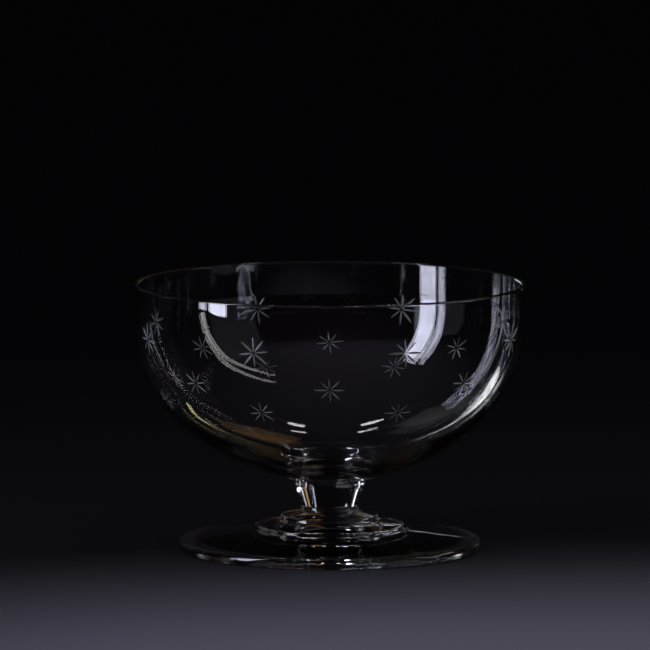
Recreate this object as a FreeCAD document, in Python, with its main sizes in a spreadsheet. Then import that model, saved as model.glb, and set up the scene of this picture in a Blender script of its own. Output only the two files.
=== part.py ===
import FreeCAD, Part
import math
import os

import Sketcher

# A champagne coupe: one piece of clear glass, turned about Z, with three rows of wheel-cut stars.
# Millimetres, +Z up, origin at the centre of the ring that the foot rests on, front star towards -Y.

Vector = FreeCAD.Vector
X_AXIS, Z_AXIS = -1, -2
START, END, CENTRE = range(1, 4)
ORIGIN = (X_AXIS, START)

# Driving sizes. Heights add up from the table to the rim, so each can change by itself.
SIZES = {
    "foot_diameter": 74.0,
    "foot_edge": 2.7,
    "foot_hollow": 1.6,
    "rest_width": 2.5,
    "foot_rise": 2.4,
    "lower_tier_diameter": 37.0,
    "lower_tier_riser": 1.05,
    "lower_tier_rise": 1.1,
    "upper_tier_diameter": 24.2,
    "upper_tier_riser": 1.2,
    "upper_tier_rise": 1.15,
    "riser_inset": 0.4,
    "stem_foot_diameter": 12.8,
    "stem_fillet": 1.4,
    "stem_height": 6.9,
    "stem_top_diameter": 17.4,
    "collar_height": 0.75,
    "pad_diameter": 22.2,
    "pad_rise": 0.35,
    "pad_edge": 0.52,
    "rim_diameter": 95.0,
    "bowl_depth": 40.0,
    "side_arc_angle": 54.7,
    "band_height": 8.0,
    "rim_wall": 1.2,
    "floor_wall": 2.4,
    "wheel_radius": 8.0,
    "wheel_angle": 110.0,
    "heart_radius": 0.2,
    "top_row_drop": 11.7,
    "top_ray_length": 3.8,
    "middle_row_drop": 20.4,
    "middle_ray_length": 3.25,
    "bottom_row_drop": 26.6,
    "bottom_ray_length": 3.05,
}
STARS_IN_ROW = 8
RAYS_IN_STAR = 8
STAR_ROWS = ("top", "middle", "bottom")
FLANKS_IN_STROKE = 4
CUTTER_CLEARANCE = 0.05


def make_sheet(doc):
    """Put the driving sizes in a spreadsheet, one named cell each."""
    sheet = doc.addObject("Spreadsheet::Sheet", "Sizes")
    for row, (name, value) in enumerate(SIZES.items(), start=1):
        sheet.set(f"A{row}", name.replace("_", " "))
        sheet.set(f"B{row}", str(value))
        sheet.setAlias(f"B{row}", name)
    doc.recompute()
    return sheet


class Profile:
    """A closed sketch outline, drawn piece by piece and held by constraints."""

    def __init__(self, body, name, role):
        self.sketch = body.newObject("Sketcher::SketchObject", name)
        plane = next(item for item in body.Origin.OriginFeatures if item.Role == role)
        self.sketch.AttachmentSupport = [(plane, "")]
        self.sketch.MapMode = "FlatFace"

    def line(self, start, end):
        return self.sketch.addGeometry(Part.LineSegment(start, end))

    def arc(self, centre, radius, first, last):
        circle = Part.Circle(centre, Vector(0, 0, 1), radius)
        return self.sketch.addGeometry(Part.ArcOfCircle(circle, first, last))

    def guide(self, shape):
        """Add a construction line or point, which shapes the outline without being part of it."""
        return self.sketch.addGeometry(shape, True)

    def hold(self, kind, *items):
        return self.sketch.addConstraint(Sketcher.Constraint(kind, *items))

    def size(self, kind, *items):
        """Add a dimension whose last item is its expression over the sheet's sizes."""
        *places, expression = items
        value = float(self.sketch.evalExpression(expression))
        index = self.hold(kind, *places, math.radians(value) if kind == "Angle" else value)
        self.sketch.setExpression(f"Constraints[{index}]", expression)


def wall_arcs(size, half_width, depth):
    """Work out a bowl wall's two arcs: the side centre's distance from Z, then the side and base radius.

    The side arc starts upright at the half width and turns in by its angle. The base arc takes over there,
    without a crease, and is level at the depth.
    """
    turn = math.radians(size["side_arc_angle"])
    spread = (half_width - depth) / (math.cos(turn) + math.sin(turn) - 1)
    base_radius = depth + spread * math.sin(turn)
    side_radius = base_radius - spread
    return half_width - side_radius, side_radius, base_radius


def outer_arcs(size):
    """Work out the arcs of the bowl's outside, which the pad joins and the stars are cut into."""
    return wall_arcs(size, size["rim_diameter"] / 2, size["bowl_depth"])


def stack_heights(size):
    """Add up the heights of the glass from the table to the line where the bowl's side starts to curve in."""
    lower_foot = size["foot_edge"] + size["foot_rise"]
    lower_top = lower_foot + size["lower_tier_riser"]
    upper_foot = lower_top + size["lower_tier_rise"]
    upper_top = upper_foot + size["upper_tier_riser"]
    stem_foot = upper_top + size["upper_tier_rise"]
    stem_top = stem_foot + size["stem_height"]
    collar_top = stem_top + size["collar_height"]
    pad_under = collar_top + size["pad_rise"]
    pad_top = pad_under + size["pad_edge"]
    base_radius = outer_arcs(size)[-1]
    bowl_base = pad_top - base_radius + math.sqrt(base_radius ** 2 - (size["pad_diameter"] / 2) ** 2)
    spring = bowl_base + size["bowl_depth"]
    return (lower_foot, lower_top, upper_foot, upper_top, stem_foot, stem_top, collar_top, pad_under, pad_top,
            spring)


def draw_bowl_wall(profile, size, half_width, depth, spring, start_radius=0.0):
    """Draw a bowl wall's base and side arcs up to the spring line, and a guide line to where they join."""
    offset, side_radius, base_radius = wall_arcs(size, half_width, depth)
    turn = math.radians(size["side_arc_angle"])
    base_start = math.acos(start_radius / base_radius)
    side_centre = Vector(offset, spring, 0)
    joint = side_centre + Vector(math.cos(turn), -math.sin(turn), 0) * side_radius
    base = profile.arc(Vector(0, spring - depth + base_radius, 0), base_radius, -base_start, -turn)
    side = profile.arc(side_centre, side_radius, -turn, 0)
    spoke = profile.guide(Part.LineSegment(side_centre, joint))
    profile.hold("PointOnObject", base, CENTRE, Z_AXIS)
    profile.hold("Tangent", base, END, side, START)
    profile.hold("Coincident", spoke, START, side, CENTRE)
    profile.hold("Coincident", spoke, END, side, START)
    return base, side, spoke


def draw_section(body, size):
    """Draw half of the glass's section: X is the radius, Y is the height."""
    profile = Profile(body, "section", "XZ_Plane")
    (lower_foot, lower_top, upper_foot, upper_top, stem_foot, stem_top, collar_top, pad_under, pad_top,
     spring) = stack_heights(size)
    rim_radius = size["rim_diameter"] / 2
    inner_radius = rim_radius - size["rim_wall"]
    lip_radius = size["rim_wall"] / 2
    lip_height = spring + size["band_height"] - lip_radius
    pad_radius = size["pad_diameter"] / 2
    bowl_depth = size["bowl_depth"]
    inner_depth = bowl_depth - size["floor_wall"]
    inset = size["riser_inset"]

    # Bowl: its outer and inner wall with an upright band each, joined by the round lip.
    outer_base, outer_side, outer_spoke = draw_bowl_wall(
        profile, size, rim_radius, bowl_depth, spring, pad_radius)
    outer_band = profile.line(Vector(rim_radius, spring, 0), Vector(rim_radius, lip_height, 0))
    lip = profile.arc(Vector(rim_radius - lip_radius, lip_height, 0), lip_radius, 0, math.pi)
    inner_band = profile.line(Vector(inner_radius, lip_height, 0), Vector(inner_radius, spring, 0))
    inner_base, inner_side, inner_spoke = draw_bowl_wall(profile, size, inner_radius, inner_depth, spring)
    bowl_bottom = profile.guide(Part.Point(Vector(0, spring - bowl_depth, 0)))

    # Foot: axis, hollow underside, rest ring, round edge and the gentle slope of its top.
    edge_radius = size["foot_edge"] / 2
    edge_centre = Vector(size["foot_diameter"] / 2 - edge_radius, edge_radius, 0)
    rest_inner = edge_centre.x - size["rest_width"]
    hollow_radius = (rest_inner ** 2 + size["foot_hollow"] ** 2) / (2 * size["foot_hollow"])
    hollow_centre = Vector(0, size["foot_hollow"] - hollow_radius, 0)
    slope_end = Vector(size["lower_tier_diameter"] / 2, lower_foot, 0)
    reach = edge_centre - slope_end
    tangent = math.atan2(-reach.y, -reach.x) - math.acos(edge_radius / reach.Length)
    slope_start = edge_centre + Vector(math.cos(tangent), math.sin(tangent), 0) * edge_radius
    axis = profile.line(Vector(0, spring - inner_depth, 0), Vector(0, size["foot_hollow"], 0))
    hollow = profile.arc(hollow_centre, hollow_radius, math.acos(rest_inner / hollow_radius), math.pi / 2)
    rest = profile.line(Vector(rest_inner, 0, 0), Vector(edge_centre.x, 0, 0))
    edge = profile.arc(edge_centre, edge_radius, -math.pi / 2, tangent)
    slope = profile.line(slope_start, slope_end)

    # Two tiers that step up to the stem.
    lower_edge = Vector(slope_end.x - inset, lower_top, 0)
    upper_start = Vector(size["upper_tier_diameter"] / 2, upper_foot, 0)
    upper_edge = Vector(upper_start.x - inset, upper_top, 0)
    stem_corner = Vector(size["stem_foot_diameter"] / 2, stem_foot, 0)
    stem_crease = Vector(size["stem_top_diameter"] / 2, stem_top, 0)
    to_tier = (upper_edge - stem_corner).normalize()
    to_crease = (stem_crease - stem_corner).normalize()
    half_corner = math.acos(to_tier.dot(to_crease)) / 2
    fillet = size["stem_fillet"]
    fillet_centre = stem_corner + (to_tier + to_crease).normalize() * (fillet / math.sin(half_corner))
    fillet_low = stem_corner + to_tier * (fillet / math.tan(half_corner))
    fillet_high = stem_corner + to_crease * (fillet / math.tan(half_corner))
    low_angle = math.atan2(fillet_low.y - fillet_centre.y, fillet_low.x - fillet_centre.x)
    high_angle = math.atan2(fillet_high.y - fillet_centre.y, fillet_high.x - fillet_centre.x)
    lower_riser = profile.line(slope_end, lower_edge)
    lower_tread = profile.line(lower_edge, upper_start)
    upper_riser = profile.line(upper_start, upper_edge)
    upper_tread = profile.line(upper_edge, fillet_low)
    stem_root = profile.arc(fillet_centre, fillet, high_angle, low_angle)
    corner = profile.guide(Part.Point(stem_corner))

    # Stem that widens upwards, its collar, and the thin pad that carries the bowl.
    collar_end = Vector(stem_crease.x, collar_top, 0)
    pad_corner = Vector(pad_radius, pad_under, 0)
    stem = profile.line(fillet_high, stem_crease)
    collar = profile.line(stem_crease, collar_end)
    pad = profile.line(collar_end, pad_corner)
    pad_edge = profile.line(pad_corner, Vector(pad_corner.x, pad_top, 0))

    # What joins what, going up the outside and down the inside.
    for first, first_end, second, second_end in (
            (outer_side, END, outer_band, START), (outer_band, END, lip, START),
            (lip, END, inner_band, START), (inner_band, END, inner_side, END), (rest, END, edge, START),
            (edge, END, slope, START), (upper_tread, END, stem_root, END), (stem_root, START, stem, START)):
        profile.hold("Tangent", first, first_end, second, second_end)
    for first, first_end, second, second_end in (
            (inner_base, START, axis, START), (axis, END, hollow, END), (hollow, START, rest, START),
            (slope, END, lower_riser, START), (lower_riser, END, lower_tread, START),
            (lower_tread, END, upper_riser, START), (upper_riser, END, upper_tread, START),
            (stem, END, collar, START), (collar, END, pad, START), (pad, END, pad_edge, START),
            (pad_edge, END, outer_base, START)):
        profile.hold("Coincident", first, first_end, second, second_end)
    for upright in (outer_band, inner_band, collar, pad_edge):
        profile.hold("Vertical", upright)
    for item, place in ((hollow, CENTRE), (axis, START), (axis, END), (bowl_bottom, START)):
        profile.hold("PointOnObject", item, place, Z_AXIS)
    for place in (START, END):
        profile.hold("PointOnObject", rest, place, X_AXIS)
    for item in (upper_tread, stem):
        profile.hold("PointOnObject", corner, START, item)
    profile.hold("PointOnObject", bowl_bottom, START, outer_base)
    profile.hold("Horizontal", outer_band, START, inner_band, END)
    profile.hold("Parallel", outer_spoke, inner_spoke)

    # Sizes of the foot and its tiers.
    profile.size("DistanceX", *ORIGIN, edge, CENTRE, "(Sizes.foot_diameter - Sizes.foot_edge) / 2")
    profile.size("Radius", edge, "Sizes.foot_edge / 2")
    profile.size("Distance", rest, "Sizes.rest_width")
    profile.size("DistanceY", *ORIGIN, axis, END, "Sizes.foot_hollow")
    profile.size("DistanceX", *ORIGIN, slope, END, "Sizes.lower_tier_diameter / 2")
    profile.size("DistanceY", *ORIGIN, slope, END, "Sizes.foot_edge + Sizes.foot_rise")
    profile.size("DistanceY", lower_riser, START, lower_riser, END, "Sizes.lower_tier_riser")
    profile.size("DistanceX", lower_riser, END, lower_riser, START, "Sizes.riser_inset")
    profile.size("DistanceY", lower_tread, START, lower_tread, END, "Sizes.lower_tier_rise")
    profile.size("DistanceX", *ORIGIN, lower_tread, END, "Sizes.upper_tier_diameter / 2")
    profile.size("DistanceY", upper_riser, START, upper_riser, END, "Sizes.upper_tier_riser")
    profile.size("DistanceX", upper_riser, END, upper_riser, START, "Sizes.riser_inset")

    # Sizes of the stem, collar and pad.
    profile.size("DistanceY", upper_tread, START, corner, START, "Sizes.upper_tier_rise")
    profile.size("DistanceX", *ORIGIN, corner, START, "Sizes.stem_foot_diameter / 2")
    profile.size("Radius", stem_root, "Sizes.stem_fillet")
    profile.size("DistanceY", corner, START, stem, END, "Sizes.stem_height")
    profile.size("DistanceX", *ORIGIN, stem, END, "Sizes.stem_top_diameter / 2")
    profile.size("Distance", collar, "Sizes.collar_height")
    profile.size("DistanceY", pad, START, pad, END, "Sizes.pad_rise")
    profile.size("DistanceX", *ORIGIN, pad, END, "Sizes.pad_diameter / 2")
    profile.size("Distance", pad_edge, "Sizes.pad_edge")

    # Sizes of the bowl.
    profile.size("DistanceX", *ORIGIN, outer_band, START, "Sizes.rim_diameter / 2")
    profile.size("DistanceY", bowl_bottom, START, outer_band, START, "Sizes.bowl_depth")
    profile.size("Angle", outer_spoke, "-Sizes.side_arc_angle")
    profile.size("DistanceY", outer_side, CENTRE, lip, CENTRE, "Sizes.band_height - Sizes.rim_wall / 2")
    profile.size("Radius", lip, "Sizes.rim_wall / 2")
    profile.size("DistanceY", bowl_bottom, START, inner_base, START, "Sizes.floor_wall")
    return profile.sketch


def turn_blank(doc, size):
    """Turn the section about Z: the glass before its stars are cut, with its seam between them."""
    body = doc.addObject("PartDesign::Body", "blank")
    section = draw_section(body, size)
    turned = body.newObject("PartDesign::Revolution", "turned")
    turned.Profile = section
    turned.ReferenceAxis = (section, ["V_Axis"])
    turned.Angle = 360
    quarter_pitch = 360 / STARS_IN_ROW / 4
    body.Placement = FreeCAD.Placement(Vector(0, 0, 0), Vector(0, 0, 1), quarter_pitch)
    doc.recompute()
    return body


def outer_wall(size, drop):
    """Give the outer wall's radius, height and lean at a distance below the rim."""
    offset, side_radius, base_radius = outer_arcs(size)
    below = max(drop - size["band_height"], 0.0)
    height = stack_heights(size)[-1] + size["band_height"] - drop
    if below <= side_radius * math.sin(math.radians(size["side_arc_angle"])):
        lean = math.asin(below / side_radius)
        return offset + side_radius * math.cos(lean), height, lean
    lean = math.asin((base_radius - size["bowl_depth"] + below) / base_radius)
    return base_radius * math.cos(lean), height, lean


def stroke_cutter(size, ray_length):
    """One touch of the mitre wheel along X: a long four-sided nick, pointing down into a wall at Z 0.

    Its depth is what a wheel of this radius reaches over the ray's length on the curved wall.
    """
    wall_radius = (outer_arcs(size)[1] + size["rim_diameter"] / 2) / 2
    half_length = ray_length / 2
    depth = half_length ** 2 / 2 * (1 / size["wheel_radius"] + 1 / wall_radius)
    fall = half_length ** 2 / (2 * wall_radius)
    height = depth + CUTTER_CLEARANCE
    length_reach = half_length * height / (depth - fall)
    width_reach = math.tan(math.radians(size["wheel_angle"] / 2)) * height
    tip = Vector(0, 0, -depth)
    corners = [
        Vector(length_reach, 0, CUTTER_CLEARANCE),
        Vector(0, width_reach, CUTTER_CLEARANCE),
        Vector(-length_reach, 0, CUTTER_CLEARANCE),
        Vector(0, -width_reach, CUTTER_CLEARANCE),
    ]
    faces = [Part.Face(Part.makePolygon(corners + corners[:1]))]
    for first, second in zip(corners, corners[1:] + corners[:1]):
        faces.append(Part.Face(Part.makePolygon([tip, first, second, tip])))
    cutter = Part.Solid(Part.Shell(faces))
    if cutter.Volume < 0:
        cutter.reverse()
    centre_distance = size["heart_radius"] + half_length
    cutter.rotate(Vector(0, 0, -wall_radius), Vector(0, 1, 0), math.degrees(centre_distance / wall_radius))
    return cutter


def star_cutter(size, row):
    """All rays of one star as one tool, set against the front of the bowl."""
    stroke = stroke_cutter(size, size[f"{row}_ray_length"])
    radius, height, lean = outer_wall(size, size[f"{row}_row_drop"])
    rays = []
    for ray in range(RAYS_IN_STAR):
        cutter = stroke.copy()
        cutter.rotate(Vector(0, 0, 0), Vector(0, 0, 1), 360 * ray / RAYS_IN_STAR)
        cutter.rotate(Vector(0, 0, 0), Vector(1, 0, 0), 90 + math.degrees(lean))
        cutter.translate(Vector(0, -radius, height))
        rays.append(cutter)
    return rays[0].fuse(rays[1:])


def star_cutters(doc, size):
    """Three staggered rows of stars; every second row is turned by half a pitch."""
    pitch = 360 / STARS_IN_ROW
    cutters = []
    for number, row in enumerate(STAR_ROWS):
        star = star_cutter(size, row)
        half_pitch = pitch / 2 if number % 2 == 0 else 0
        for place in range(STARS_IN_ROW):
            cutter = star.copy()
            cutter.rotate(Vector(0, 0, 0), Vector(0, 0, 1), place * pitch + half_pitch)
            cutters.append(cutter)
    feature = doc.addObject("Part::Feature", "star_cutters")
    feature.Shape = Part.makeCompound(cutters)
    return feature


def cut_glass(doc, blank, cutters):
    """Cut the stars into the blank: the finished glass."""
    glass = doc.addObject("Part::Cut", "coupe_glass")
    glass.Label = "coupe_glass"
    glass.Base = blank
    glass.Tool = cutters
    doc.recompute()
    return glass


def check(doc, blank, glass):
    """Stop if any object failed, or if a stroke is missing."""
    for item in doc.Objects:
        if "Invalid" in item.State or "Error" in item.State:
            raise RuntimeError(f"{item.Name} failed: {item.State}")
    if glass.Shape.isNull() or not glass.Shape.isValid() or len(glass.Shape.Solids) != 1:
        raise RuntimeError("the glass is not one valid solid")
    strokes = len(STAR_ROWS) * STARS_IN_ROW * RAYS_IN_STAR
    if len(glass.Shape.Faces) < len(blank.Shape.Faces) + strokes * FLANKS_IN_STROKE:
        raise RuntimeError("some strokes cut nothing")


def main():
    doc = FreeCAD.newDocument("champagne_coupe")
    sheet = make_sheet(doc)
    size = {name: float(sheet.get(name)) for name in SIZES}
    blank = turn_blank(doc, size)
    glass = cut_glass(doc, blank, star_cutters(doc, size))
    check(doc, blank, glass)
    os.makedirs("parts", exist_ok=True)
    glass.Shape.exportStep(f"parts/{glass.Label}.step")
    box = glass.Shape.optimalBoundingBox(True, False)
    print(f"{glass.Label}: {box.XLength:.2f} x {box.YLength:.2f} x {box.ZLength:.2f} mm")
    print(f"volume {glass.Shape.Volume:.1f} cubic mm, {len(glass.Shape.Faces)} faces")


main()
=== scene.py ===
import math

import bpy
import numpy as np
from mathutils import Matrix, Vector


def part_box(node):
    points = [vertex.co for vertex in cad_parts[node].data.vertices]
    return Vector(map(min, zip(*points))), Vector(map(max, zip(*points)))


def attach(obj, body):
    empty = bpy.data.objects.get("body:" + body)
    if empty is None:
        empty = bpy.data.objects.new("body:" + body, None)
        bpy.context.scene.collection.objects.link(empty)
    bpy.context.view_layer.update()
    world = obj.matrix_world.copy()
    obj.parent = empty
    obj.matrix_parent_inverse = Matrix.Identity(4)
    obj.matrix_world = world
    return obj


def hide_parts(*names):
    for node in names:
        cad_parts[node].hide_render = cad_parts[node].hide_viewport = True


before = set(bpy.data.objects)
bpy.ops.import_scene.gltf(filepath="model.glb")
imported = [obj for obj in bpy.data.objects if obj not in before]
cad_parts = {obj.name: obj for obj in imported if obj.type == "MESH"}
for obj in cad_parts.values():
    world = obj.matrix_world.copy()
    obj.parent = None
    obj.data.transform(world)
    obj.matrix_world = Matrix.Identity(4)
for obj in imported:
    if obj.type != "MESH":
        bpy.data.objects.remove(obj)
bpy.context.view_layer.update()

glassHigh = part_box("coupe_glass")[1]
mm = 0.001
print("frame loaded")

# The turned glass in millimetres, from the table up. The rim's radius and height come from the frame.
turnedGlass = {
    "footEdge": 1.35,
    "footRadius": 37.0,
    "footHollow": 1.6,
    "hollowSteps": 16,
    "restWidth": 2.5,
    "lowerTier": (18.5, 5.1, 18.1, 6.15),     # radius and height at its foot, then at its edge
    "upperTier": (12.1, 7.25, 11.7, 8.45),
    "stemFoot": (6.4, 9.6),
    "stemTop": (8.7, 16.5),
    "collarTop": 17.25,
    "pad": (11.1, 17.6, 18.12),               # radius, underside and top
    "bowlDepth": 40.0,
    "bandHeight": 8.0,
    "sideArcAngle": 54.7,
    "rimWall": 1.2,
    "floorWall": 2.4,
    "tierRound": 0.7,                         # the fire has softened the small corners
    "tierRootRound": 1.0,
    "stemRound": 1.4,
    "collarRound": 0.25,
    "padRound": 0.2,
    "longStep": 1.1,                          # between points on the large curves
    "roundStep": 9.0,                         # degrees between points on the small rounds
    "segments": 256,
    "weldDistance": 0.001,
}

# One touch of the grinding wheel, in millimetres. Each ray of a star is this one, scaled to its length.
wheelStroke = {
    "length": 3.8,
    "wheelRadius": 9.5,
    "wheelAngle": 94.0,
    "wallRadius": 42.0,
    "clearance": 0.02,
    "steps": 12,
}

# The rows of stars: how far below the rim, the ray's length and the turn of the first star from the front.
starRows = {
    "top": (11.7, 3.8, 22.5),
    "middle": (20.4, 3.25, 0.0),
    "bottom": (26.6, 3.05, 22.5),
}
starPattern = {
    "stars": 8,
    "rays": 8,
    "heart": 0.22,
    "lengthSpread": 0.14,
    "angleSpread": 4.0,                       # degrees
    "twistSpread": 8.0,                       # degrees, of a whole star
    "seed": 7,
}


# An outline is a list of rows: radius, height and the direction of travel, with the outside on the right.
def arcRows(centre, radius, first, last, count):
    turn = 1 if last > first else -1
    rows = []
    for angle in np.radians(np.linspace(first, last, count + 1)):
        away = (math.cos(angle), math.sin(angle))
        place = (centre[0] + radius * away[0], centre[1] + radius * away[1])
        rows.append((*place, -away[1] * turn, away[0] * turn))
    return rows


def longArc(centre, radius, first, last):
    length = radius * math.radians(abs(last - first))
    return arcRows(centre, radius, first, last, math.ceil(length / turnedGlass["longStep"]))


def roundArc(centre, radius, first, last):
    return arcRows(centre, radius, first, last, math.ceil(abs(last - first) / turnedGlass["roundStep"]))


def roundedCorner(before, corner, after, radius):
    before, corner, after = (np.array(point) for point in (before, corner, after))
    inward = (corner - before) / np.linalg.norm(corner - before)
    outward = (after - corner) / np.linalg.norm(after - corner)
    side = 1 if inward[0] * outward[1] > inward[1] * outward[0] else -1
    turn = math.degrees(math.acos(inward @ outward))
    start = corner - inward * radius * math.tan(math.radians(turn / 2))
    centre = start + np.array((-inward[1], inward[0])) * side * radius
    first = math.degrees(math.atan2(*(start - centre)[::-1]))
    return roundArc(centre, radius, first, first + side * turn)


def wallArcs(halfWidth, depth):
    turn = math.radians(turnedGlass["sideArcAngle"])
    spread = (halfWidth - depth) / (math.cos(turn) + math.sin(turn) - 1)
    baseRadius = depth + spread * math.sin(turn)
    return halfWidth - baseRadius + spread, baseRadius - spread, baseRadius


def glassOutline(rimRadius, rimHeight):
    glass = turnedGlass
    spring = rimHeight - glass["bandHeight"]
    turn = glass["sideArcAngle"]

    # foot: hollow underside, rest ring, round edge and sloping top
    edgeCentre = np.array((glass["footRadius"] - glass["footEdge"], glass["footEdge"]))
    restInner = edgeCentre[0] - glass["restWidth"]
    hollowRadius = (restInner ** 2 + glass["footHollow"] ** 2) / (2 * glass["footHollow"])
    hollowAngle = math.degrees(math.asin(restInner / hollowRadius))
    hollowCentre = (0, glass["footHollow"] - hollowRadius)
    hollow = arcRows(hollowCentre, hollowRadius, 90, 90 - hollowAngle, glass["hollowSteps"])
    slopeEnd = np.array(glass["lowerTier"][:2])
    reach = edgeCentre - slopeEnd
    tangent = math.acos(glass["footEdge"] / np.linalg.norm(reach))
    edgeEnd = math.degrees(math.atan2(-reach[1], -reach[0]) - tangent)
    edge = roundArc(edgeCentre, glass["footEdge"], -90, edgeEnd)

    # tiers, stem, collar and pad: corner points, each with its round
    pad, padUnder, padTop = glass["pad"]
    lowerEdge = glass["lowerTier"][2:]
    upperEdge = glass["upperTier"][2:]
    corners = [
        (edge[-1][:2], 0),
        (slopeEnd, glass["tierRootRound"]),
        (lowerEdge, glass["tierRound"]),
        (glass["upperTier"][:2], glass["tierRootRound"]),
        (upperEdge, glass["tierRound"]),
        (glass["stemFoot"], glass["stemRound"]),
        (glass["stemTop"], glass["collarRound"]),
        ((glass["stemTop"][0], glass["collarTop"]), glass["collarRound"]),
        ((pad, padUnder), glass["padRound"]),
        ((pad, padTop), glass["padRound"]),
    ]

    # bowl: base and side arcs, band and lip, then the inner wall on the way back down
    offset, sideRadius, baseRadius = wallArcs(rimRadius, glass["bowlDepth"])
    baseHeight = spring - glass["bowlDepth"] + baseRadius
    padAngle = -math.degrees(math.acos(pad / baseRadius))
    outer = longArc((0, baseHeight), baseRadius, padAngle, -turn)
    outer += longArc((offset, spring), sideRadius, -turn, 0)
    corners.append((outer[1][:2], 0))
    rows = hollow + edge
    for before, corner, after in zip(corners, corners[1:], corners[2:]):
        rows += roundedCorner(before[0], corner[0], after[0], corner[1])
    rows += outer[1:]
    lip = glass["rimWall"] / 2
    rows += roundArc((rimRadius - lip, rimHeight - lip), lip, 0, 180)
    innerDepth = glass["bowlDepth"] - glass["floorWall"]
    offset, sideRadius, baseRadius = wallArcs(rimRadius - glass["rimWall"], innerDepth)
    rows += longArc((offset, spring), sideRadius, 0, -turn)
    rows += longArc((0, spring - innerDepth + baseRadius), baseRadius, -turn, -90)

    kept = rows[:1]
    for row in rows[1:]:
        if math.dist(row[:2], kept[-1][:2]) > glass["weldDistance"]:
            kept.append(row)
    return np.array(kept)


def meshObject(name, points, edges=(), faces=()):
    mesh = bpy.data.meshes.new(name)
    mesh.from_pydata([tuple(point) for point in points], edges, faces)
    thing = bpy.data.objects.new(name, mesh)
    bpy.context.scene.collection.objects.link(thing)
    return thing


def outlineObject(rows):
    points = [(row[0] * mm, 0, row[1] * mm) for row in rows]
    return meshObject("coupeOutline", points, [(i, i + 1) for i in range(len(points) - 1)])


# A stroke lies along X on a wall at Z 0. Its keel follows the wheel and its top the wall, just clear of it.
def strokeObject():
    wheel = wheelStroke
    bend = 1 / (2 * wheel["wheelRadius"]) + 1 / (2 * wheel["wallRadius"])
    depth = (wheel["length"] / 2) ** 2 * bend
    reach = math.sqrt((depth + wheel["clearance"]) / bend)
    points = []
    for step in range(wheel["steps"] + 1):
        x = -reach * math.cos(math.pi * step / wheel["steps"])
        keel = -depth + x * x / (2 * wheel["wheelRadius"])
        top = wheel["clearance"] - x * x / (2 * wheel["wallRadius"])
        halfWidth = math.tan(math.radians(wheel["wheelAngle"] / 2)) * (top - keel)
        if step in (0, wheel["steps"]):
            points.append((x * mm, 0, keel * mm))
        else:
            section = ((0, keel), (halfWidth, top), (-halfWidth, top))
            points += [(x * mm, y * mm, z * mm) for y, z in section]
    last = len(points) - 1
    faces = [(0, 2, 1), (0, 3, 2), (0, 1, 3)]
    for start in range(1, last - 3, 3):
        for a, b in ((0, 1), (1, 2), (2, 0)):
            faces.append((start + a, start + b, start + 3 + b, start + 3 + a))
    faces += [(last, last - 3 + a, last - 3 + b) for a, b in ((0, 1), (1, 2), (2, 0))]
    return meshObject("wheelStroke", points, (), faces)


# Small helpers that keep a node tree readable.
def newTree(name, kind, inputs, outputs):
    tree = bpy.data.node_groups.new(name, kind)
    for label, socketType in inputs:
        tree.interface.new_socket(label, in_out="INPUT", socket_type=socketType)
    for label, socketType in outputs:
        tree.interface.new_socket(label, in_out="OUTPUT", socket_type=socketType)
    return tree, tree.nodes.new("NodeGroupInput").outputs, tree.nodes.new("NodeGroupOutput").inputs


def addNode(tree, kind, inputs=None, **settings):
    node = tree.nodes.new(kind)
    for label, value in settings.items():
        setattr(node, label, value)
    for label, value in (inputs or {}).items():
        if isinstance(value, bpy.types.NodeSocket):
            tree.links.new(value, node.inputs[label])
        else:
            node.inputs[label].default_value = value
    return node


def compute(tree, operation, first, second=0.0):
    return addNode(tree, "ShaderNodeMath", {0: first, 1: second}, operation=operation).outputs[0]


def vector(tree, x=0.0, y=0.0, z=0.0):
    return addNode(tree, "ShaderNodeCombineXYZ", {"X": x, "Y": y, "Z": z}).outputs[0]


def randomAbout(tree, centre, amount, item, seed):
    node = addNode(tree, "FunctionNodeRandomValue", data_type="FLOAT")
    sockets = {socket.identifier: socket for socket in node.inputs}
    tree.links.new(compute(tree, "SUBTRACT", centre, amount), sockets["Min_001"])
    tree.links.new(compute(tree, "ADD", centre, amount), sockets["Max_001"])
    tree.links.new(item, sockets["ID"])
    sockets["Seed"].default_value = seed
    return next(socket for socket in node.outputs if socket.identifier == "Value_001")


def turnInstances(tree, instances, rotation, pivot=(0, 0, 0)):
    return addNode(tree, "GeometryNodeRotateInstances", {
        "Instances": instances, "Rotation": rotation, "Pivot Point": pivot, "Local Space": False}).outputs[0]


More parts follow.
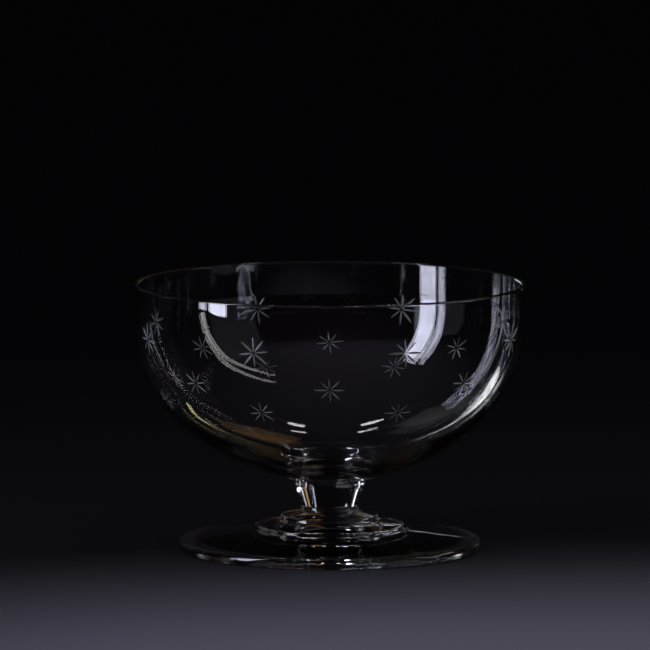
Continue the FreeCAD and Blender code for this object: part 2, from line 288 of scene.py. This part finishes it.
# One row of stars: strokes at the origin, turned out to their place in the star and then round the bowl.
def starRowTree():
    sizes = ["Half Length", "Scale", "Heart", "Wall Curve", "Wall Radius", "Height", "Lean", "Row Turn"]
    sizes += ["Length Spread", "Angle Spread", "Twist Spread"]
    tree, given, result = newTree(
        "starRow", "GeometryNodeTree",
        [("Stroke", "NodeSocketGeometry"), ("Stars", "NodeSocketInt"), ("Rays", "NodeSocketInt")]
        + [(label, "NodeSocketFloat") for label in sizes],
        [("Row", "NodeSocketGeometry")])
    seed = starPattern["seed"]
    index = addNode(tree, "GeometryNodeInputIndex").outputs[0]
    ray = compute(tree, "MODULO", index, given["Rays"])
    star = compute(tree, "FLOOR", compute(tree, "DIVIDE", index, given["Rays"]))
    lengthen = randomAbout(tree, 1.0, given["Length Spread"], index, seed)
    stretch = compute(tree, "MULTIPLY", given["Scale"], lengthen)
    widen = compute(tree, "MULTIPLY", stretch, stretch)
    reach = compute(tree, "ADD", given["Heart"], compute(tree, "MULTIPLY", given["Half Length"], stretch))
    rayAngle = compute(tree, "MULTIPLY", ray, compute(tree, "DIVIDE", math.tau, given["Rays"]))
    rayAngle = compute(tree, "ADD", rayAngle, randomAbout(tree, 0.0, given["Angle Spread"], index, seed + 1))
    rayAngle = compute(tree, "ADD", rayAngle, randomAbout(tree, 0.0, given["Twist Spread"], star, seed + 2))
    starAngle = compute(tree, "MULTIPLY", star, compute(tree, "DIVIDE", math.tau, given["Stars"]))
    starAngle = compute(tree, "ADD", starAngle, given["Row Turn"])
    lean = compute(tree, "ADD", given["Lean"], math.pi / 2)
    count = compute(tree, "MULTIPLY", given["Stars"], given["Rays"])
    points = addNode(tree, "GeometryNodePoints", {"Count": count})
    strokes = addNode(tree, "GeometryNodeInstanceOnPoints", {
        "Points": points.outputs[0], "Instance": given["Stroke"],
        "Scale": vector(tree, stretch, widen, widen)})
    wallCentre = vector(tree, z=compute(tree, "MULTIPLY", given["Wall Curve"], -1.0))
    wallPlace = vector(tree, y=compute(tree, "MULTIPLY", given["Wall Radius"], -1.0), z=given["Height"])
    tilt = vector(tree, y=compute(tree, "DIVIDE", reach, given["Wall Curve"]))
    placed = turnInstances(tree, strokes.outputs[0], tilt, wallCentre)
    placed = turnInstances(tree, placed, vector(tree, z=rayAngle))
    placed = turnInstances(tree, placed, vector(tree, x=lean))
    placed = addNode(tree, "GeometryNodeTranslateInstances", {
        "Instances": placed, "Translation": wallPlace, "Local Space": False}).outputs[0]
    placed = turnInstances(tree, placed, vector(tree, z=starAngle))
    tree.links.new(placed, result["Row"])
    return tree


# The whole glass: the outline turned about Z, less the strokes of every row.
def coupeTree(rowTree):
    rowSizes = ["Wall Radius", "Height", "Lean", "Row Turn", "Scale"]
    common = ["Half Length", "Heart", "Wall Curve", "Length Spread", "Angle Spread", "Twist Spread"]
    tree, given, result = newTree(
        "cutCoupe", "GeometryNodeTree",
        [("Outline", "NodeSocketGeometry"), ("Stroke", "NodeSocketObject"),
         ("Clear Glass", "NodeSocketMaterial"), ("Ground Glass", "NodeSocketMaterial"),
         ("Segments", "NodeSocketInt"), ("Stars", "NodeSocketInt"), ("Rays", "NodeSocketInt"),
         ("Weld", "NodeSocketFloat")]
        + [(label, "NodeSocketFloat") for label in common]
        + [(f"{row} {label}", "NodeSocketFloat") for row in starRows for label in rowSizes],
        [("Coupe", "NodeSocketGeometry")])
    outline = given["Outline"]
    size = addNode(tree, "GeometryNodeAttributeDomainSize", {"Geometry": outline}, component="MESH")
    around = compute(tree, "ADD", given["Segments"], 1)
    grid = addNode(tree, "GeometryNodeMeshGrid", {
        "Vertices X": size.outputs["Point Count"], "Vertices Y": around})
    index = addNode(tree, "GeometryNodeInputIndex").outputs[0]
    ring = compute(tree, "FLOOR", compute(tree, "DIVIDE", index, around))
    step = compute(tree, "MODULO", compute(tree, "MODULO", index, around), given["Segments"])
    angle = compute(tree, "MULTIPLY", step, compute(tree, "DIVIDE", math.tau, given["Segments"]))
    sample = addNode(tree, "GeometryNodeSampleIndex", data_type="FLOAT_VECTOR", domain="POINT")
    tree.links.new(outline, sample.inputs["Geometry"])
    tree.links.new(addNode(tree, "GeometryNodeInputPosition").outputs[0], sample.inputs["Value"])
    tree.links.new(ring, sample.inputs["Index"])
    place = addNode(tree, "ShaderNodeSeparateXYZ", {0: sample.outputs["Value"]}).outputs
    x = compute(tree, "MULTIPLY", place["X"], compute(tree, "COSINE", angle))
    y = compute(tree, "MULTIPLY", place["X"], compute(tree, "SINE", angle))
    turned = addNode(tree, "GeometryNodeSetPosition", {
        "Geometry": grid.outputs["Mesh"], "Position": vector(tree, x, y, place["Z"])})
    welded = addNode(tree, "GeometryNodeMergeByDistance", {
        "Geometry": turned.outputs[0], "Distance": given["Weld"]})
    blank = addNode(tree, "GeometryNodeFlipFaces", {"Mesh": welded.outputs[0]}).outputs[0]

    stroke = addNode(tree, "GeometryNodeObjectInfo", {"Object": given["Stroke"]}).outputs["Geometry"]
    ground = addNode(tree, "GeometryNodeStoreNamedAttribute", data_type="FLOAT", domain="FACE")
    tree.links.new(stroke, ground.inputs["Geometry"])
    ground.inputs["Name"].default_value = "ground"
    ground.inputs["Value"].default_value = 1.0
    join = addNode(tree, "GeometryNodeJoinGeometry")
    for row in starRows:
        group = addNode(tree, "GeometryNodeGroup", node_tree=rowTree)
        tree.links.new(ground.outputs[0], group.inputs["Stroke"])
        for label in ["Stars", "Rays"] + common:
            tree.links.new(given[label], group.inputs[label])
        for label in rowSizes:
            tree.links.new(given[f"{row} {label}"], group.inputs[label])
        tree.links.new(group.outputs[0], join.inputs[0])
    strokes = addNode(tree, "GeometryNodeRealizeInstances", {0: join.outputs[0]}).outputs[0]
    cut = addNode(tree, "GeometryNodeMeshBoolean", {"Mesh 1": blank, "Mesh 2": strokes},
                  operation="DIFFERENCE", solver="MANIFOLD").outputs["Mesh"]
    smooth = addNode(tree, "GeometryNodeSetShadeSmooth", {"Geometry": cut, "Shade Smooth": True}).outputs[0]
    real = addNode(tree, "GeometryNodeRealizeInstances", {0: smooth}).outputs[0]
    clear = addNode(tree, "GeometryNodeSetMaterial", {
        "Geometry": real, "Material": given["Clear Glass"]}).outputs[0]
    named = addNode(tree, "GeometryNodeInputNamedAttribute", {"Name": "ground"}, data_type="FLOAT")
    both = addNode(tree, "GeometryNodeSetMaterial", {
        "Geometry": clear, "Material": given["Ground Glass"]})
    tree.links.new(compute(tree, "GREATER_THAN", named.outputs["Attribute"], 0.5), both.inputs["Selection"])
    tree.links.new(both.outputs[0], result["Coupe"])
    return tree


def setInputs(modifier, values):
    items = modifier.node_group.interface.items_tree
    sockets = {item.name: item.identifier for item in items if item.in_out == "INPUT"}
    for label, value in values.items():
        modifier[sockets[label]] = value


# Radius, height and lean of the outer wall at a distance below the rim.
def outerWall(rimRadius, rimHeight, drop):
    glass = turnedGlass
    offset, sideRadius, baseRadius = wallArcs(rimRadius, glass["bowlDepth"])
    below = drop - glass["bandHeight"]
    height = rimHeight - drop
    if below <= sideRadius * math.sin(math.radians(glass["sideArcAngle"])):
        lean = math.asin(below / sideRadius)
        return offset + sideRadius * math.cos(lean), height, lean
    lean = math.asin((baseRadius - glass["bowlDepth"] + below) / baseRadius)
    return baseRadius * math.cos(lean), height, lean


# Polished corners take the outline's own direction, so the cuts leave no dent in the shine beside them.
def polishNormals(mesh, rows, groundSlot):
    points = np.empty(len(mesh.vertices) * 3)
    mesh.vertices.foreach_get("co", points)
    points = points.reshape(-1, 3) / mm
    flat = np.column_stack((np.hypot(points[:, 0], points[:, 1]), points[:, 2]))
    starts, ends = rows[:-1, :2], rows[1:, :2]
    along = ends - starts
    lengths = (along ** 2).sum(1)
    best = np.full(len(flat), np.inf)
    travel = np.zeros((len(flat), 2))
    for number in range(len(along)):
        share = np.clip((flat - starts[number]) @ along[number] / lengths[number], 0, 1)
        gap = ((flat - starts[number] - share[:, None] * along[number]) ** 2).sum(1)
        nearer = gap < best
        best[nearer] = gap[nearer]
        first, second = rows[number, 2:], rows[number + 1, 2:]
        travel[nearer] = first + share[nearer, None] * (second - first)
    travel /= np.linalg.norm(travel, axis=1)[:, None]
    radius = np.maximum(flat[:, 0], 1e-9)
    outward = np.column_stack((points[:, :2] / radius[:, None] * travel[:, 1:], -travel[:, 0]))
    loops = np.empty(len(mesh.loops), dtype=np.int32)
    mesh.loops.foreach_get("vertex_index", loops)
    slots = np.empty(len(mesh.polygons), dtype=np.int32)
    mesh.polygons.foreach_get("material_index", slots)
    totals = np.empty(len(mesh.polygons), dtype=np.int32)
    mesh.polygons.foreach_get("loop_total", totals)
    faceNormals = np.empty(len(mesh.polygons) * 3)
    mesh.polygons.foreach_get("normal", faceNormals)
    faceOfLoop = np.repeat(np.arange(len(totals)), totals)
    normals = outward[loops]
    groundLoops = slots[faceOfLoop] == groundSlot
    normals[groundLoops] = faceNormals.reshape(-1, 3)[faceOfLoop[groundLoops]]
    mesh.normals_split_custom_set(normals)


# Polished glass: a slow wave, turning rings low in the bowl, a faint smear, and wear where the foot rests.
glassFinish = {
    "tint": (0.985, 0.99, 0.99),
    "ior": 1.5,
    "waveScale": 45.0,
    "waveHeight": 0.00008,
    "rippleScale": (30.0, 30.0, 240.0),       # fine rings left from turning, in the bowl's lower part
    "rippleHeight": 0.000012,
    "rippleRange": (0.036, 0.048),
    "smearScale": 60.0,
    "smearRoughness": 0.02,
    "smearSharpness": 3.0,
    "restWearHeight": 0.00012,
    "restWearScale": 900.0,
    "restWearRoughness": 0.16,
    "restWearSpread": 0.5,
}

# Ground glass: the matt bed that the wheel leaves in each stroke.
groundFinish = {
    "tint": (0.8, 0.81, 0.84),
    "transmission": 0.9,
    "roughness": 0.38,
    "roughnessSpread": 0.3,
    "grainScale": 5200.0,
    "grainHeight": 0.00003,
}


def newMaterial(name):
    material = bpy.data.materials.new(name)
    material.use_nodes = True
    tree = material.node_tree
    return material, tree, tree.nodes["Principled BSDF"]


# Matt grain that the wheel leaves, on the strokes and where the foot rubs.
def grainTree():
    tree, given, result = newTree(
        "groundGrain", "ShaderNodeTree",
        [("Scale", "NodeSocketFloat"), ("Roughness", "NodeSocketFloat"), ("Spread", "NodeSocketFloat")],
        [("Height", "NodeSocketFloat"), ("Roughness", "NodeSocketFloat")])
    place = addNode(tree, "ShaderNodeTexCoord").outputs["Object"]
    noise = addNode(tree, "ShaderNodeTexNoise", {"Vector": place, "Scale": given["Scale"], "Detail": 3.0})
    tree.links.new(noise.outputs[0], result["Height"])
    away = compute(tree, "MULTIPLY", compute(tree, "SUBTRACT", noise.outputs[0], 0.5), given["Spread"])
    tree.links.new(compute(tree, "ADD", given["Roughness"], away), result["Roughness"])
    return tree


def clearGlass(grain):
    finish = glassFinish
    material, tree, shader = newMaterial("clearGlass")
    shader.inputs["Base Color"].default_value = (*finish["tint"], 1)
    shader.inputs["Transmission Weight"].default_value = 1.0
    shader.inputs["IOR"].default_value = finish["ior"]
    place = addNode(tree, "ShaderNodeTexCoord").outputs["Object"]
    height = addNode(tree, "ShaderNodeSeparateXYZ", {0: place}).outputs["Z"]
    wave = addNode(tree, "ShaderNodeTexNoise", {"Vector": place, "Scale": finish["waveScale"], "Detail": 1.0})
    rings = addNode(tree, "ShaderNodeVectorMath", {0: place, 1: finish["rippleScale"]}, operation="MULTIPLY")
    ripple = addNode(tree, "ShaderNodeTexNoise", {"Vector": rings.outputs[0], "Scale": 1.0, "Detail": 1.0})
    low, high = finish["rippleRange"]
    fade = addNode(tree, "ShaderNodeMapRange", {
        "Value": height, "From Min": low, "From Max": high,
        "To Min": finish["rippleHeight"], "To Max": 0.0}).outputs[0]
    relief = compute(tree, "ADD", compute(tree, "MULTIPLY", wave.outputs[0], finish["waveHeight"]),
                     compute(tree, "MULTIPLY", ripple.outputs[0], fade))
    bump = addNode(tree, "ShaderNodeBump", {"Height": relief, "Distance": 1.0})
    tree.links.new(bump.outputs[0], shader.inputs["Normal"])
    smear = addNode(tree, "ShaderNodeTexNoise", {
        "Vector": place, "Scale": finish["smearScale"], "Detail": 4.0})
    smear = compute(tree, "POWER", smear.outputs[0], finish["smearSharpness"])
    smear = compute(tree, "MULTIPLY", smear, finish["smearRoughness"])
    rubbed = compute(tree, "LESS_THAN", height, finish["restWearHeight"])
    worn = addNode(tree, "ShaderNodeGroup", node_tree=grain)
    worn.inputs["Scale"].default_value = finish["restWearScale"]
    worn.inputs["Roughness"].default_value = finish["restWearRoughness"]
    worn.inputs["Spread"].default_value = finish["restWearSpread"]
    rubbed = compute(tree, "MULTIPLY", rubbed, worn.outputs["Roughness"])
    tree.links.new(compute(tree, "ADD", smear, rubbed), shader.inputs["Roughness"])
    return material


def groundGlass(grain):
    finish = groundFinish
    material, tree, shader = newMaterial("groundGlass")
    shader.inputs["Base Color"].default_value = (*finish["tint"], 1)
    shader.inputs["Transmission Weight"].default_value = finish["transmission"]
    shader.inputs["IOR"].default_value = glassFinish["ior"]
    node = addNode(tree, "ShaderNodeGroup", node_tree=grain)
    node.inputs["Scale"].default_value = finish["grainScale"]
    node.inputs["Roughness"].default_value = finish["roughness"]
    node.inputs["Spread"].default_value = finish["roughnessSpread"]
    bump = addNode(tree, "ShaderNodeBump", {
        "Height": node.outputs["Height"], "Distance": finish["grainHeight"]})
    tree.links.new(bump.outputs[0], shader.inputs["Normal"])
    tree.links.new(node.outputs["Roughness"], shader.inputs["Roughness"])
    return material


def makeCoupe():
    rimRadius, rimHeight = glassHigh.x / mm, glassHigh.z / mm
    rows = glassOutline(rimRadius, rimHeight)
    outline, stroke = outlineObject(rows), strokeObject()
    grain = grainTree()
    clear = clearGlass(grain)
    outline.data.materials.append(clear)
    modifier = outline.modifiers.new("turnAndCut", "NODES")
    modifier.node_group = coupeTree(starRowTree())
    values = {
        "Stroke": stroke,
        "Clear Glass": clear,
        "Ground Glass": groundGlass(grain),
        "Segments": turnedGlass["segments"],
        "Weld": turnedGlass["weldDistance"] * mm,
        "Stars": starPattern["stars"],
        "Rays": starPattern["rays"],
        "Heart": starPattern["heart"] * mm,
        "Half Length": wheelStroke["length"] / 2 * mm,
        "Wall Curve": wheelStroke["wallRadius"] * mm,
        "Length Spread": starPattern["lengthSpread"],
        "Angle Spread": math.radians(starPattern["angleSpread"]),
        "Twist Spread": math.radians(starPattern["twistSpread"]),
    }
    for row, (drop, rayLength, rowTurn) in starRows.items():
        wallRadius, height, lean = outerWall(rimRadius, rimHeight, drop)
        values[f"{row} Wall Radius"] = wallRadius * mm
        values[f"{row} Height"] = height * mm
        values[f"{row} Lean"] = lean
        values[f"{row} Row Turn"] = math.radians(rowTurn)
        values[f"{row} Scale"] = rayLength / wheelStroke["length"]
    setInputs(modifier, values)
    graph = bpy.context.evaluated_depsgraph_get()
    mesh = bpy.data.meshes.new_from_object(outline.evaluated_get(graph))
    mesh.name = "coupeGlass"
    if mesh.materials[0] is None:             # the grid's own empty slot, which no face uses
        mesh.materials.pop(index=0)
    for helper in (outline, stroke):
        bpy.data.objects.remove(helper)
    polishNormals(mesh, rows, mesh.materials.find("groundGlass"))
    print("coupe turned and cut:", len(mesh.vertices), "points,", len(mesh.polygons), "faces")
    coupe = bpy.data.objects.new("coupeGlass", mesh)
    bpy.context.scene.collection.objects.link(coupe)
    return coupe


coupe = makeCoupe()
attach(coupe, "root")
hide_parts("coupe_glass")
print("coupe rides on the root")


# The stage: a pale pool of painted light on the floor in front of the glass, which fades in two steps of
# painted shade into a dark backdrop.
stageLook = {
    "floorRadius": 3.0,
    "floorSides": 64,
    "floorLevel": -0.00005,                   # just clear of the rest ring
    "floorRoughness": 0.8,
    # The floor's colour carries painted light: pale inside a pool of painted light, then two darker colours
    # of painted shade further out.
    "floorInPaintedLightPool": (0.092, 0.088, 0.115),
    "nearFloorPaintedShade": (0.0048, 0.0044, 0.005),
    "farFloorPaintedShade": (0.0018, 0.0016, 0.0022),
    "backdrop": (0.0018, 0.0016, 0.002),
    "paintedLightPoolCentre": (0.06, -0.27, 0.0),
    "paintedLightPoolRange": (0.086, 0.3),                # the distances from its centre over which the painted pool of light fades
    # the distances over which the painted shade darkens further
    "paintedShadeRange": (0.265, 0.72),
    "roomGlow": (0.022, 0.013, 0.015),        # what the glass mirrors of the room in front of it
    "roomDark": (0.005, 0.0045, 0.0055),      # and of the room behind it
    "roomRange": (-0.3, 0.4),                 # where the one passes into the other, front to rear
    "skyGlow": (0.6, 0.6, 0.6),               # what lights the floor and the ground strokes
}


def mixColour(tree, factor, first, second):
    node = addNode(tree, "ShaderNodeMix", data_type="RGBA")
    sockets = {socket.identifier: socket for socket in node.inputs}
    tree.links.new(factor, sockets["Factor_Float"])
    for label, colour in (("A_Color", first), ("B_Color", second)):
        if isinstance(colour, bpy.types.NodeSocket):
            tree.links.new(colour, sockets[label])
        else:
            sockets[label].default_value = (*colour, 1)
    return next(socket for socket in node.outputs if socket.identifier == "Result_Color")


def makeFloor():
    radius, sides = stageLook["floorRadius"], stageLook["floorSides"]
    turns = [math.tau * side / sides for side in range(sides)]
    points = [(math.cos(turn) * radius, math.sin(turn) * radius, stageLook["floorLevel"]) for turn in turns]
    floor = meshObject("floor", points, (), [tuple(range(sides))])
    material, tree, shader = newMaterial("floorPaintedLightPool")
    place = addNode(tree, "ShaderNodeTexCoord").outputs["Object"]
    # Painted light: the floor's colour goes from the pale pool of painted light into two steps of painted
    # shade with distance from the pool's centre.
    away = addNode(tree, "ShaderNodeVectorMath", {0: place, 1: stageLook["paintedLightPoolCentre"]}, operation="DISTANCE")
    colour = stageLook["floorInPaintedLightPool"]
    for reach, paintedShadeColour in (("paintedLightPoolRange", "nearFloorPaintedShade"), ("paintedShadeRange", "farFloorPaintedShade")):
        first, last = stageLook[reach]
        fade = addNode(tree, "ShaderNodeMapRange", {
            "Value": away.outputs["Value"], "From Min": first, "From Max": last},
            interpolation_type="SMOOTHSTEP").outputs[0]
        colour = mixColour(tree, fade, colour, stageLook[paintedShadeColour])
    tree.links.new(colour, shader.inputs["Base Color"])
    shader.inputs["Roughness"].default_value = stageLook["floorRoughness"]
    shader.inputs["Specular IOR Level"].default_value = 0.0
    floor.data.materials.append(material)


def makeWorld():
    world = bpy.data.worlds.new("studio")
    bpy.context.scene.world = world
    world.use_nodes = True
    tree = world.node_tree
    back = tree.nodes["Background"]
    path = addNode(tree, "ShaderNodeLightPath").outputs
    seen = compute(tree, "MAXIMUM", path["Is Camera Ray"], path["Is Transmission Ray"])
    direction = addNode(tree, "ShaderNodeTexCoord").outputs["Generated"]
    depth = addNode(tree, "ShaderNodeSeparateXYZ", {0: direction}).outputs["Y"]
    first, last = stageLook["roomRange"]
    behind = addNode(tree, "ShaderNodeMapRange", {
        "Value": depth, "From Min": first, "From Max": last}).outputs[0]
    room = mixColour(tree, behind, stageLook["roomGlow"], stageLook["roomDark"])
    colour = mixColour(tree, path["Is Glossy Ray"], stageLook["skyGlow"], room)
    colour = mixColour(tree, seen, colour, stageLook["backdrop"])
    tree.links.new(colour, back.inputs["Color"])
    back.inputs["Strength"].default_value = 1.0


# Soft lights stand round the glass and face it. Each is a strip from one point to another. A point is its
# bearing from the front towards the right, distance and height. The strip's width, glow and tint follow.
lightTints = {
    "cool": (0.78, 0.79, 1.0),
    "plain": (1.0, 1.0, 1.0),
    "warm": (1.0, 0.55, 0.22),
    "yellow": (1.0, 0.9, 0.42),
}
softLights = {
    "leftWindow": ((-66.0, 0.42, 0.0165), (-66.0, 0.42, 0.42), 0.085, 11.0, "cool"),
    "leftWindowSide": ((-76.5, 0.42, 0.0165), (-76.5, 0.42, 0.4), 0.035, 7.0, "cool"),
    "leftWindowFoot": ((-60.1, 0.387, 0.0108), (-71.9, 0.387, 0.0108), 0.0176, 11.0, "cool"),
    "leftWindowSideFoot": ((-74.1, 0.387, 0.0108), (-78.9, 0.387, 0.0108), 0.0176, 7.0, "cool"),
    "leftRearPane": ((-140.0, 0.42, 0.001), (-140.0, 0.42, 0.2), 0.01, 3.0, "cool"),
    "leftRearCurtain": ((-174.5, 0.5, 0.05), (-157.0, 0.5, 0.11), 0.045, 9.0, "plain"),
    "leftRearPanel": ((-156.0, 0.5, 0.16), (-155.0, 0.5, 0.5), 0.12, 0.16, "plain"),
    "rightWindow": ((66.0, 0.5, 0.0), (66.0, 0.5, 0.48), 0.3, 0.1, "cool"),
    "rightWindowPost": ((88.4, 0.5, 0.06), (85.8, 0.5, 0.41), 0.035, 3.0, "plain"),
    "rightWindowSlope": ((85.8, 0.5, 0.41), (63.0, 0.561, 1.04), 0.035, 3.0, "plain"),
    "rightStrip": ((52.0, 0.5, 0.0), (52.0, 0.5, 0.03), 0.055, 0.9, "cool"),
    "rightRearStrip": ((150.0, 0.5, 0.02), (150.0, 0.5, 0.12), 0.014, 1.0, "cool"),
    "rightRearShelf": ((174.0, 0.5, 0.07), (163.0, 0.5, 0.15), 0.012, 3.5, "yellow"),
    "rightRearPanel": ((169.0, 0.5, 0.2), (168.0, 0.5, 0.42), 0.1, 0.25, "warm"),
    "leftBackLight": ((-162.0, 0.362, 0.509), (-162.0, 0.343, 0.522), 0.06, 14.0, "plain"),
    "rightBackLight": ((166.0, 0.362, 0.509), (166.0, 0.343, 0.522), 0.045, 12.0, "plain"),
    "stemWarmth": ((145.0, 0.5, 0.06), (145.0, 0.5, 0.18), 0.055, 0.4, "warm"),
    "stemLine": ((160.0, 0.5, 0.06), (160.0, 0.5, 0.18), 0.01, 1.0, "cool"),
    "stemGlint": ((-154.0, 0.5, 0.125), (-154.0, 0.5, 0.14), 0.014, 3.0, "plain"),
    "stemEdge": ((-132.0, 0.5, 0.08), (-132.0, 0.5, 0.18), 0.05, 0.4, "plain"),
    "tierGlint": ((98.0, 0.42, 0.28), (124.0, 0.42, 0.28), 0.16, 10.0, "cool"),
    "leftFootGlint": ((135.0, 0.5, 0.04), (135.0, 0.5, 0.22), 0.04, 1.4, "plain"),
    "rightFootGlint": ((-135.0, 0.5, 0.04), (-135.0, 0.5, 0.22), 0.04, 5.0, "plain"),
}

# Some have a honeycomb grid and shine at one place of the glass: that place, and the spread in degrees.
gridLights = {
    "leftWindowFoot": ((0.025, 0.039, 0.06), 8.5),
    "leftWindowSideFoot": ((0.028, 0.036, 0.06), 8.5),
    "leftRearPane": ((0.042, 0.01, 0.045), 13.0),
    "leftRearCurtain": ((0.041, 0.005, 0.045), 9.0),
    "leftRearPanel": ((0.025, 0.01, 0.03), 24.0),
    "rightRearShelf": ((-0.037, 0.003, 0.042), 8.0),
    "rightRearPanel": ((-0.022, 0.012, 0.027), 22.0),
    "stemWarmth": ((0.0, 0.0, 0.013), 10.0),
    "stemLine": ((0.0, 0.0, 0.013), 10.0),
    "stemGlint": ((0.0, 0.0, 0.013), 10.0),
    "stemEdge": ((0.0, 0.0, 0.013), 8.0),
    "tierGlint": ((0.012, -0.006, 0.008), 9.0),
    "leftFootGlint": ((-0.036, 0.0, 0.002), 7.0),
    "rightFootGlint": ((0.036, 0.0, 0.002), 7.0),
}
gridPart = 0.03                               # the longest piece of a strip with a grid
lightTarget = (0.0, 0.0, 0.03)


def standingPoint(bearing, distance, height):
    angle = math.radians(bearing)
    return Vector((math.sin(angle) * distance, -math.cos(angle) * distance, height))


def addStrip(name, low, high, width, glow, tint):
    low, high = standingPoint(*low), standingPoint(*high)
    along = (high - low).normalized()
    hasGrid = name in gridLights
    aim, spread = gridLights.get(name, (lightTarget, 180.0))
    half = math.radians(spread) / 2
    parts = math.ceil((high - low).length / gridPart) if hasGrid else 1
    for part in range(parts):
        middle = low.lerp(high, (part + 0.5) / parts)
        outward = (middle - Vector(aim)).normalized()
        if not hasGrid:
            outward = (outward - along * outward.dot(along)).normalized()
        across = along.cross(outward).normalized()
        light = bpy.data.lights.new(name, "AREA")
        light.shape = "RECTANGLE"
        light.size, light.size_y = width, (high - low).length / parts
        light.spread = half * 2
        light.energy = glow * math.pi * width * light.size_y * (1 - half / math.tan(half))
        light.color = lightTints[tint]
        lamp = bpy.data.objects.new(name, light)
        lamp.location = middle
        lamp.rotation_euler = Matrix((across, outward.cross(across), outward)).transposed().to_euler()
        lamp.visible_camera = False
        bpy.context.scene.collection.objects.link(lamp)


# The camera stands where the photograph was taken from: far off, a little above the rim.
cameraPlace = {
    "location": (0.0, -2.1809, 0.3211),
    "target": (-0.00112, 0.0, 0.0547),
    "lens": 501.8,
    "sensor": 36.0,
}


def makeCamera():
    camera = bpy.data.objects.new("camera", bpy.data.cameras.new("camera"))
    camera.data.lens, camera.data.sensor_width = cameraPlace["lens"], cameraPlace["sensor"]
    camera.location = cameraPlace["location"]
    aim = Vector(cameraPlace["target"]) - camera.location
    camera.rotation_euler = aim.to_track_quat("-Z", "Y").to_euler()
    bpy.context.scene.collection.objects.link(camera)
    bpy.context.scene.camera = camera


makeFloor()
makeWorld()
for name, values in softLights.items():
    addStrip(name, *values)
makeCamera()
bpy.context.scene.view_settings.view_transform = "Standard"
print("stage, lights and camera set")
